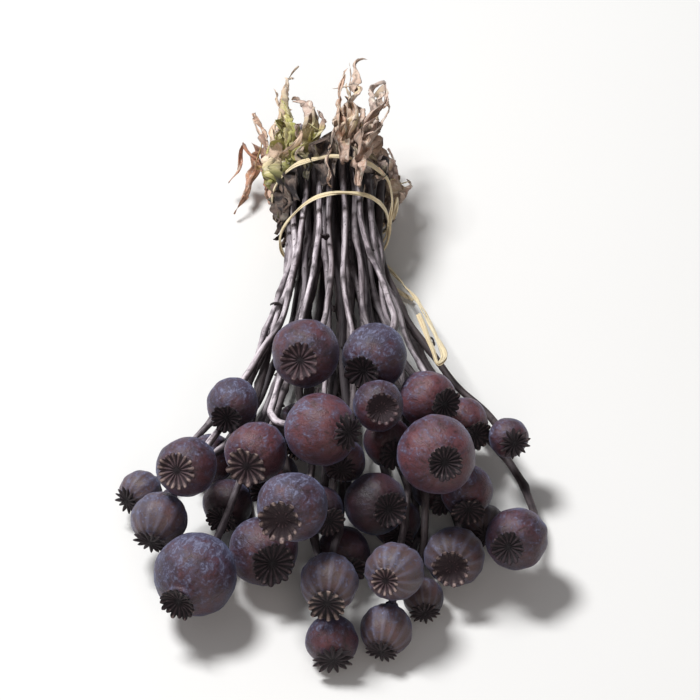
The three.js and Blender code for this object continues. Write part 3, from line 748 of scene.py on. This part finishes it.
def leafFrame(rows):
    # even rows from foot to tip: middle line, ways across and outward, half width and curl
    middles = np.array([row[0] for row in rows])
    sides = np.array([row[1] for row in rows])
    outs = units(np.cross(sides, units(np.gradient(middles, axis=0))))
    if outs[0].dot(awayFromWaist(middles[:1])[0]) < 0:
        outs, sides = -outs, -sides
    halves, curls = [], []
    for (middle, _, ring), side, out in zip(rows, sides, outs):
        x, h = (ring - middle) @ side, (ring - middle) @ out
        order = np.argsort(-np.abs(x))
        outer, inner = order[:4], order[4:]
        chord = np.abs(x[outer]).mean()
        curls.append(math.atan2((h[outer].mean() - h[inner].mean()) / 0.88, chord))
        halves.append(chord / math.cos(curls[-1]))
    halves, curls = np.array(halves), np.array(curls)
    middles = middles - outs * (halves * (np.sin(curls) / 2 + np.sin(curls / 3) / 6))[:, None]
    lengths = lengthsAlong(middles)
    at = np.linspace(0, lengths[-1], int(lengths[-1] / leaf["step"]))
    line = curveThrough(middles, len(at))
    ahead = units(np.gradient(line, axis=0))
    sides, outs, halves, curls = (sampled(values, lengths, at) for values in (sides, outs, halves, curls))
    sides = units(sides - ahead * (sides * ahead).sum(1, keepdims=True))
    return {"line": line, "lengths": at, "sides": sides, "outs": units(outs), "halves": halves,
            "curls": curls, "held": 1.0}


def shredOf(whole, draw, starts, ends):
    # a narrower torn strip that leaves the leaf's foot and goes its own way
    count = len(whole["line"])
    first, last = int(count * draw.uniform(*starts)), int(count * draw.uniform(*ends))
    part = {key: value[first:last] for key, value in whole.items() if key != "held"}
    share = np.linspace(0, 1, last - first)[:, None]
    aside = draw.uniform(leaf["shredAside"] * 0.4, leaf["shredAside"]) * draw.choice([-1, 1])
    lift = draw.uniform(-0.1, 0.7) * leaf["shredAside"]
    wander = 1.5 * mm * np.sin(share * draw.uniform(4, 9) + draw.uniform(0, turn))
    line = part["line"] + part["sides"] * (aside * share**1.3 + wander)
    line += part["outs"] * (lift * share**0.6 + wander)
    line = keptAbove(line, 1.6 * mm)
    angle = draw.uniform(-2.2, 2.2) * share
    sides = part["sides"] * np.cos(angle) + part["outs"] * np.sin(angle)
    outs = part["outs"] * np.cos(angle) - part["sides"] * np.sin(angle)
    halves = part["halves"] * draw.uniform(*leaf["shredWidth"]) + 0.5 * mm
    return {**part, "line": line, "sides": sides, "outs": outs, "halves": halves,
            "curls": part["curls"] * draw.uniform(0.8, 1.5), "held": 0.0}


def flapOf(whole, draw, turned, *sizes):
    # a leaf's withered foot, which comes down over the stalks from above the tie
    half, reach, out = (size * mm for size in sizes)
    foot = whole["line"][0] - waist
    angle = math.atan2(foot[2], foot[0]) + math.radians(turned)
    outward = np.array([math.cos(angle), 0, math.sin(angle)])
    across = np.array([-math.sin(angle), 0, math.cos(angle)])
    # how far along the bunch from the tie, and how far out
    places = [(23 * mm, out - 1.5 * mm), (15 * mm, out), (6 * mm, out),
              (-reach * 0.6, out - 0.4 * mm), (-reach, out + mm)]
    sway = draw.uniform(-1.2, 1.2, len(places)) * mm
    points = [waist + outward * far + across * aside + [0, up, 0] for (up, far), aside in zip(places, sway)]
    count = int(lengthsAlong(np.array(points))[-1] / leaf["step"])
    rows = np.ones((count, 1))
    return {"line": curveThrough(points, count), "lengths": 21 * mm + leaf["step"] * np.arange(count),
            "sides": rows * across, "outs": rows * outward, "halves": rows * half,
            "curls": rows * draw.choice([-0.3, 0.15]), "held": 0.0}


def addSheet(shell, sheet, seed, tint, dark=0, tip="torn"):
    # a thin crumpled sheet with torn edges
    lengths, halves, curls = (sheet[key] for key in ("lengths", "halves", "curls"))
    u = np.linspace(-1, 1, leaf["columns"])[None, :]
    side = np.abs(u)
    place = joined(u * 4 * mm, lengths[:, None])
    far = (lengths - lengths[0]) / (lengths[-1] - lengths[0])
    free = np.maximum(ease(15 * mm, 24 * mm, lengths), (1 - sheet["held"]) * ease(0, 0.15, far))
    free = free[:, None] * (1 - 0.45 * dark)
    footed = leaf["foot"] + (1 - leaf["foot"]) * ease(0.3, 1.2, lengths / leaf["footLength"])
    edges = []
    for sign in (-1, 1):
        at = joined(lengths, sign * 0.5)
        ragged = waves(at, 5 * mm, seed + sign) + 0.7 * waves(at, 2.2 * mm, seed + 9 + sign)
        tear = leaf["tear"] * ease(0.6, 1.2, waves(at, 8 * mm, seed + 19 + sign))
        loose = (0.25 + 0.75 * free[:, 0]) * (1 - 0.7 * ease(0.65, 0.9, far))
        edges.append(np.clip(1.08 + loose * (leaf["ragged"] * ragged - tear), 0.16, 1.55))
    edge = np.where(u < 0, edges[0][:, None], edges[1][:, None])
    slimmer = ease(0.45, 0.9, far)
    ends = np.sqrt(np.clip(far / 0.08, 0.05, 1)) * (1 - 0.72 * slimmer) * footed
    ends = ends * np.sqrt(np.clip((1 - far) / 0.1, 0.06, 1))
    if tip == "broad":
        ends = ends * (1 + 4.5 * bell((far - 0.82) / 0.13))
    if tip == "slender":
        slimmer = ease(0.45, 0.66, far)
        ends = ends * (1 - 0.62 * slimmer)
        free = free * (1 - 0.8 * slimmer)[:, None]
    out = halves * side * (1 + (edge - 1) * side) * ends[:, None]
    lean = curls * side + free * leaf["roll"] * ease(0.5, 1.0, side) * np.sign(curls)
    across, over = np.sign(u) * out * np.cos(lean * 0.85), out * np.sin(lean)
    roomy = np.minimum(1, 0.35 + halves / (4 * mm))
    creases = np.abs(waves(place, 4 * mm, seed + 47)) - 0.5
    puckers = np.abs(waves(place, 1.7 * mm, seed + 53)) - 0.5
    folds = waves(place, 7 * mm, seed + 31) * leaf["crumple"] + creases * leaf["crease"]
    folds = folds + puckers * leaf["pucker"]
    rib = bell(u / 0.12) * 0.35 * mm
    over = over + free * folds * roomy - rib
    across = across + free * waves(place + 1, 6 * mm, seed + 71) * leaf["crease"] * roomy
    middle = sheet["line"][:, None] + across[..., None] * sheet["sides"][:, None]
    thin = leaf["thickness"] / 2 * (1 - 0.6 * side ** 3)
    outs = sheet["outs"][:, None]
    faces = [middle + (over + sign * thin)[..., None] * outs for sign in (1, -1)]
    points = keptAbove(np.concatenate([faces[0], faces[1][:, ::-1]], 1), 0.2 * mm)

    def both(*values):
        # the same on both faces
        face = joined(*values, creases)[..., :-1]
        return np.concatenate([face, face[:, ::-1]], 1)

    shade = np.maximum(dark, ease(1.3, 0.4, lengths / leaf["footLength"]))[:, None]
    olive = tint[0] * ease(0.68, 0.38, far)[:, None]
    spot = both(across, seed * 0.013, lengths[:, None]) / inPattern
    shell.grid(points, 0, spot, both(side, creases, shade), both(olive, *tint[1:]))


def addStrand(shell, whole, draw, tint):
    # a thin dry strand that curls away from the leaf
    first = int(len(whole["line"]) * draw.uniform(*leaf["strandFrom"]))
    start, side, out = whole["line"][first], whole["sides"][first], whole["outs"][first]
    ahead = unit(whole["line"][first + 1] - start)
    length, wide = draw.uniform(*leaf["strandLength"]), draw.uniform(*leaf["strandWidth"])
    share = np.linspace(0, 1, 26)[:, None]
    swing = draw.uniform(1.5, 5) * share**1.4
    way, rise = draw.uniform(-0.6, 0.6), draw.uniform(-0.1, 0.45)
    bow = 1 - np.cos(swing)
    route = start + length * (ahead * (0.9 * share - 0.15 * bow) + side * way * np.sin(swing)
                              + out * (rise * share + 0.12 * bow))
    route = keptAbove(route, 1.2 * mm)
    sides, outs = alongRoute(route, side)
    angle = anglesRound(8) + share * draw.uniform(-4, 4)
    thick = wide * (1 - 0.6 * share) * (1 + 0.3 * np.sin(share * 17 + length))
    ring = np.cos(angle)[..., None] * sides[:, None] + 0.4 * np.sin(angle)[..., None] * outs[:, None]
    points = route[:, None] + thick[..., None] * ring
    shell.grid(points, 0, points / inPattern, (0.4, 0, 0), tint)


def makeLeaf(name, number, finish):
    shell = Shell()
    draw = np.random.default_rng(number + 700)
    whole = leafFrame(leafRows[name])
    addSheet(shell, whole, number, leaf[name], tip=leaf["tips"].get(name, "torn"))

    def otherTint(most):
        return np.clip(np.array(leaf[name]) + draw.uniform(-most, most, 3), 0, 1)

    for shred, (starts, ends) in enumerate(leaf["shreds"]):
        tint = otherTint(leaf["shredTint"])
        addSheet(shell, shredOf(whole, draw, starts, ends), number * 10 + shred + 200, tint)
    for strand in range(leaf["strands"]):
        addStrand(shell, whole, draw, otherTint(leaf["strandTint"]))
    for flap, (*places, dark) in enumerate(leaf["flaps"].get(name, [])):
        addSheet(shell, flapOf(whole, draw, *places), number * 10 + flap + 500, leaf["flapTint"], dark)
    shell.piece(name.replace("leaf_", "withered_leaf_"), [finish], name)


# Finishes. A value in a shader's maths is written as Python.

class Value:
    def __init__(self, paint, socket):
        self.paint, self.socket = paint, socket

    def __add__(self, other):
        return self.paint.maths("ADD", self, other)

    def __sub__(self, other):
        return self.paint.maths("SUBTRACT", self, other)

    def __rsub__(self, other):
        return self.paint.maths("SUBTRACT", other, self)

    def __mul__(self, other):
        return self.paint.maths("MULTIPLY", self, other)

    __radd__ = __add__
    __rmul__ = __mul__


class Paint:
    def __init__(self, name):
        self.material = bpy.data.materials.new(name)
        self.material.use_nodes = True
        self.tree = self.material.node_tree
        self.tree.nodes.clear()

    def node(self, kind, settings, values, output=0):
        made = self.tree.nodes.new("ShaderNode" + kind)
        for key, value in settings.items():
            setattr(made, key, value)
        for key, value in values.items():
            if isinstance(value, Value):
                self.tree.links.new(value.socket, made.inputs[key])
            else:
                made.inputs[key].default_value = value
        return Value(self, made.outputs[output]) if made.outputs else None

    def maths(self, operation, a, b):
        return self.node("Math", {"operation": operation}, {0: a, 1: b})

    def limit(self, value):
        return self.node("Clamp", {}, {0: value})

    def mix(self, share, a, b):
        # b over a
        a, b = (colour if isinstance(colour, Value) else colourOf(*colour) for colour in (a, b))
        return self.node("Mix", {"data_type": "RGBA"}, {0: share, 6: a, 7: b}, 2)

    def coats(self, skin, *coats):
        # colours over one another, each with its share
        for share, colour in coats:
            skin = self.mix(share, skin, colour)
        return skin

    def notes(self):
        # where a point lies in its pattern, its marks and its tint
        spot, marks, tint = (self.node("Attribute", {"attribute_name": name}, {}, "Vector")
                             for name in ("spot", "marks", "tint"))
        return spot, self.parts(marks), self.parts(tint)

    def parts(self, vector):
        split = self.node("SeparateXYZ", {}, {0: vector})
        return [Value(self, socket) for socket in split.socket.node.outputs]

    def stretch(self, vector, x, y, z):
        return self.node("VectorMath", {"operation": "MULTIPLY"}, {0: vector, 1: (x, y, z)})

    def noise(self, vector, scale, detail=3, roughness=0.55, smeared=0):
        return self.node("TexNoise", {}, {"Vector": vector, "Scale": scale, "Detail": detail,
                                          "Roughness": roughness, "Distortion": smeared})

    def step(self, value, low, high):
        # 0 below low and 1 above high
        return self.node("MapRange", {"interpolation_type": "SMOOTHSTEP"}, {0: value, 1: low, 2: high})

    def finish(self, colour, roughness, relief, deep, fixed):
        bump = self.node("Bump", {}, {"Height": relief, "Distance": deep, "Strength": 1.0})
        values = {"Base Color": colour, "Roughness": roughness, "Normal": bump, **fixed}
        surface = self.node("BsdfPrincipled", {}, values)
        self.node("OutputMaterial", {}, {0: surface})
        return self.material


def colourOf(red, green, blue):
    # a colour as a screen shows it, from 0 to 255
    linear = [(c / 255 / 12.92) if c < 10 else ((c / 255 + 0.055) / 1.055) ** 2.4 for c in (red, green, blue)]
    return (*linear, 1.0)


capsuleColours = {
    "plum": (52, 29, 39),
    "dusk": (18, 11, 16),
    "ruddy": (104, 54, 58),
    "wax": (70, 68, 92),
    "paleWax": (130, 131, 156),
    "weathered": (106, 88, 83),
}


def capsuleSkin():
    paint = Paint("capsule_skin")
    spot, (rib, poresNeckAndShade, shaded), (waxAndSkyLight, ruddy, grey) = paint.notes()
    broad = paint.noise(spot, 1.1, 2)
    patches = paint.noise(spot, 2.3, 4, 0.6, 0.7)
    smears = paint.noise(paint.stretch(spot, 1.0, 1.0, 0.5), 4.5, 4, 0.62, 1.4)
    mottle = paint.noise(spot, 10, 4, 0.65)
    specks = paint.noise(spot, 30, 2)
    uneven = (patches - 0.5) * 2.6 + (smears - 0.5) * 2.2 + (mottle - 0.5) * 0.8
    # wax, and painted light on the sides that face the overhead lamp
    wax = paint.limit(waxAndSkyLight * 1.3 + uneven - 0.1)
    pale = paint.step(mottle * 0.5 + smears * 0.6 + wax * 0.1, 0.6, 0.78) * wax
    colours = capsuleColours
    skin = paint.coats(
        colours["plum"],
        (paint.limit(ruddy + (broad - 0.5) * 2.2), colours["ruddy"]),
        (paint.step(smears, 0.5, 0.32) * 0.6, colours["dusk"]),
        (paint.limit(grey * 0.8 + (patches - 0.5) * grey), colours["weathered"]),
        # blue wax, partly painted light
        (wax * 0.85, colours["wax"]),
        (pale * 0.62, colours["paleWax"]),
        (paint.step(mottle, 0.4, 0.28) * 0.45, colours["dusk"]),
        (paint.step(specks, 0.66, 0.76) * 0.3, colours["dusk"]),
        (paint.limit(rib * grey * 0.5), colours["paleWax"]),
        # painted shade on the undersides and on the heads deep in the heap; also the pore dents and the neck
        (paint.limit(poresNeckAndShade * 0.35 + shaded * 0.45), colours["dusk"]),
    )
    relief = mottle * 0.6 + specks * 0.35 + smears * 0.5
    return paint.finish(skin, 0.42 + wax * 0.24 + (mottle - 0.5) * 0.25, relief, 0.4 * mm,
                        {"Specular IOR Level": 0.45, "Sheen Weight": 0.2, "Sheen Roughness": 0.35,
                         "Sheen Tint": colourOf(170, 190, 240)})


def crownSkin():
    paint = Paint("crown_skin")
    spot, (tip, raised, out), (loose, worn, pale) = paint.notes()
    grain = paint.noise(spot, 7, 4, 0.65)
    fine = paint.noise(spot, 34, 2)
    skin = paint.coats(
        paint.mix(pale, (24, 16, 20), (46, 32, 36)),
        (paint.limit(raised * raised * (0.5 + grain * 0.7)), paint.mix(pale, (72, 53, 58), (116, 90, 94))),
        (paint.step(grain, 0.56, 0.7) * raised * 0.4, (112, 98, 110)),
        (paint.limit(tip * (worn * 1.5 + (grain - 0.5) * 4.4 - 0.5)), (166, 144, 134)),
        (paint.step(out, 0.34, 0.08) * 0.7, (20, 13, 17)),
        (loose * 0.4, (30, 22, 26)),
    )
    return paint.finish(skin, 0.7 + (grain - 0.5) * 0.3, grain * 0.7 + fine * 0.5, 0.4 * mm,
                        {"Specular IOR Level": 0.32, "Sheen Weight": 0.06})


def stemSkin():
    paint = Paint("stem_skin")
    spot, (joint, furrow, cut), (warm, paintedLight, scrap) = paint.notes()
    streaks = paint.noise(paint.stretch(spot, 5.0, 5.0, 0.7), 1.5, 4, 0.6)
    blotches = paint.noise(spot, 1.6, 4, 0.6)
    scars = paint.noise(paint.stretch(spot, 1.5, 1.5, 1.0), 5.5, 3)
    skin = paint.coats(
        (116, 104, 110),
        (paint.limit(warm * 0.7 + (blotches - 0.5)), (126, 104, 100)),
        # painted light on the top stems' sides that face the overhead lamp
        (paint.limit(paintedLight * 1.4 + (blotches - 0.5) * 0.8), (198, 184, 188)),
        # pale streaks, strongest where light is painted
        (paint.step(streaks, 0.48, 0.62) * (0.05 + paintedLight * 0.8), (242, 230, 231)),
        (paint.step(streaks, 0.49, 0.37) * 0.65, (58, 46, 52)),
        (paint.step(blotches, 0.54, 0.66) * 0.6, (54, 43, 52)),
        # painted shade on the lower stems and on the sides turned away from the lamp
        (paint.limit(0.72 - paintedLight * 1.1), (30, 24, 25)),
        (paint.step(scars, 0.62, 0.7) * 0.75, (40, 31, 33)),
        (paint.limit(joint * 0.9 + scrap * 0.4), (44, 34, 34)),
        # painted shade nearest the cut ends
        (paint.limit(0 - cut) * 0.75, (34, 27, 27)),
        (paint.step(cut, 0.3, 0.6), (196, 174, 138)),
        # painted shade at the bottom of the hollow
        (paint.step(cut, 1.1, 1.6), (40, 30, 24)),
    )
    relief = streaks * 0.8 + scars * 0.3 - furrow * 0.1
    return paint.finish(skin, 0.62 + (streaks - 0.5) * 0.3, relief, 0.4 * mm, {"Specular IOR Level": 0.35})


def raffiaFibre():
    paint = Paint("raffia_fibre")
    spot, (edge, _, _), (fibre, _, _) = paint.notes()
    streaks = paint.noise(paint.stretch(spot, 60.0, 60.0, 1.2), 1.0, 4, 0.6)
    patches = paint.noise(spot, 1.4, 2)
    skin = paint.coats(
        (242, 224, 186),
        (paint.limit(fibre * 0.5 + (patches - 0.5) * 1.4), (220, 194, 148)),
        (paint.step(streaks, 0.5, 0.3) * 0.7, (156, 126, 78)),
        (paint.step(streaks, 0.56, 0.7) * 0.6, (252, 242, 218)),
    )
    return paint.finish(skin, 0.5 + (streaks - 0.5) * 0.3, streaks + edge * 0.05, 0.25 * mm,
                        {"Specular IOR Level": 0.4, "Sheen Weight": 0.15})


def leafSkin():
    paint = Paint("withered_leaf_skin")
    spot, (side, crease, shade), (olive, brown, grey) = paint.notes()
    patches = paint.noise(spot, 1.9, 4, 0.6)
    veins = paint.noise(paint.stretch(spot, 3.5, 1.0, 1.2), 3.2, 4, 0.6)
    fine = paint.noise(spot, 14, 3)
    skin = paint.coats(
        (244, 218, 190),
        (paint.limit(brown + (patches - 0.5) * 1.5), (192, 136, 108)),
        (paint.limit(grey * 0.9 + (veins - 0.5)), (190, 174, 168)),
        (paint.limit(olive * 1.15 + (patches - 0.5) * 1.6 - 0.1), (186, 182, 104)),
        (paint.step(veins, 0.54, 0.68) * 0.7, (246, 234, 214)),
        (paint.step(fine, 0.56, 0.7) * 0.5, (80, 62, 53)),
        # painted shade along the crease valleys
        (paint.step(crease, 0.05, -0.45) * 0.52, (64, 50, 42)),
        (paint.step(side, 0.8, 1.0) * 0.3, (92, 62, 46)),
        (paint.limit(shade * 0.9 + (patches - 0.5) * shade * 1.2), (36, 28, 28)),
    )
    return paint.finish(skin, 0.68 + (fine - 0.5) * 0.3, veins * 0.8 + fine * 0.5, 0.5 * mm,
                        {"Specular IOR Level": 0.3, "Sheen Weight": 0.1})


def tableSurface():
    paint = Paint("pale_table")
    place = paint.node("TexCoord", {}, {}, "Object")
    cloud = paint.noise(place, 2.2, 2)
    shade = paint.mix(cloud, (226, 222, 217), (233, 230, 226))
    return paint.finish(shade, 0.7 + (cloud - 0.5) * 0.1, cloud, 0.1 * mm, {"Specular IOR Level": 0.25})


# The pieces

skins = [capsuleSkin(), crownSkin(), stemSkin()]
for number, stalk in enumerate(stalks, 1):
    shell = Shell()
    rays = round(stalk["rays"] * crown["raysForEachPacked"])
    addCapsule(shell, stalk, number, rays)
    addCrown(shell, stalk, number, rays)
    addStem(shell, stalk, number)
    shell.piece(f"seed_head_{number:02d}", skins, stalk["name"])


print("seed heads made")

makeTie(raffiaFibre())
leafFinish = leafSkin()
for number, name in enumerate(leafRows, 1):
    makeLeaf(name, number, leafFinish)


print("tie and leaves made")


# Table, light and camera

studio = {
    "tableSize": 40.0,
    "world": (0.9, 0.94, 1.0),
    "worldStrength": 0.2,
    # where each soft light stands, its size in metres, its power in watts and its colour
    "lights": {
        "overhead": ((-0.55, 0.3, 1.35), 0.45, 27, (0.94, 0.97, 1.0)),
        "front": ((0.2, -1.4, 0.9), 0.9, 5.5, (1.0, 0.93, 0.9)),
    },
}

view = {
    "lookDown": math.radians(45),
    "pixel": 1.18 * mm,  # real width of a photograph's pixel at the bunch
    "pixelsAcross": 230,
    "distance": 3.6,
    "sensor": 36.0,
    # from the waist of the bunch to the middle of the view, in the photograph's pixels
    "right": 5,
    "up": -43.4,
}


def makeTable():
    half = studio["tableSize"] / 2
    mesh = bpy.data.meshes.new("table_top")
    corners = [(-half, -half, 0), (half, -half, 0), (half, half, 0), (-half, half, 0)]
    mesh.from_pydata(corners, [], [(0, 1, 2, 3)])
    mesh.materials.append(tableSurface())
    table = inScene("table_top", mesh)


def makeLights():
    world = bpy.data.worlds.new("pale_room")
    world.use_nodes = True
    background = world.node_tree.nodes["Background"]
    background.inputs["Color"].default_value = (*studio["world"], 1)
    background.inputs["Strength"].default_value = studio["worldStrength"]
    bpy.context.scene.world = world
    for name, (place, size, power, colour) in studio["lights"].items():
        lamp = bpy.data.lights.new(name, "AREA")
        lamp.shape, lamp.size, lamp.energy, lamp.color = "DISK", size, power, colour
        stand = inScene(name, lamp)
        stand.location = place
        stand.rotation_mode = "QUATERNION"
        stand.rotation_quaternion = (-Vector(place)).to_track_quat("-Z", "Y")
        stand.visible_camera = False


def makeCamera():
    down = view["lookDown"]
    right = Vector((1, 0, 0))
    up = Vector((0, math.sin(down), math.cos(down)))
    back = Vector((0, -math.cos(down), math.sin(down)))
    target = Vector(waist) + (right * view["right"] + up * view["up"]) * view["pixel"]
    camera = bpy.data.cameras.new("camera")
    camera.sensor_width = view["sensor"]
    camera.lens = view["sensor"] * view["distance"] / (view["pixelsAcross"] * view["pixel"])
    camera.clip_end = 100
    stand = inScene("camera", camera)
    turned = Matrix((right, up, back)).transposed().to_4x4()
    stand.matrix_world = Matrix.Translation(target + back * view["distance"]) @ turned
    bpy.context.scene.camera = stand


makeTable()
makeLights()
makeCamera()
bpy.context.scene.view_settings.view_transform = "Standard"
print("table, lights and camera set")
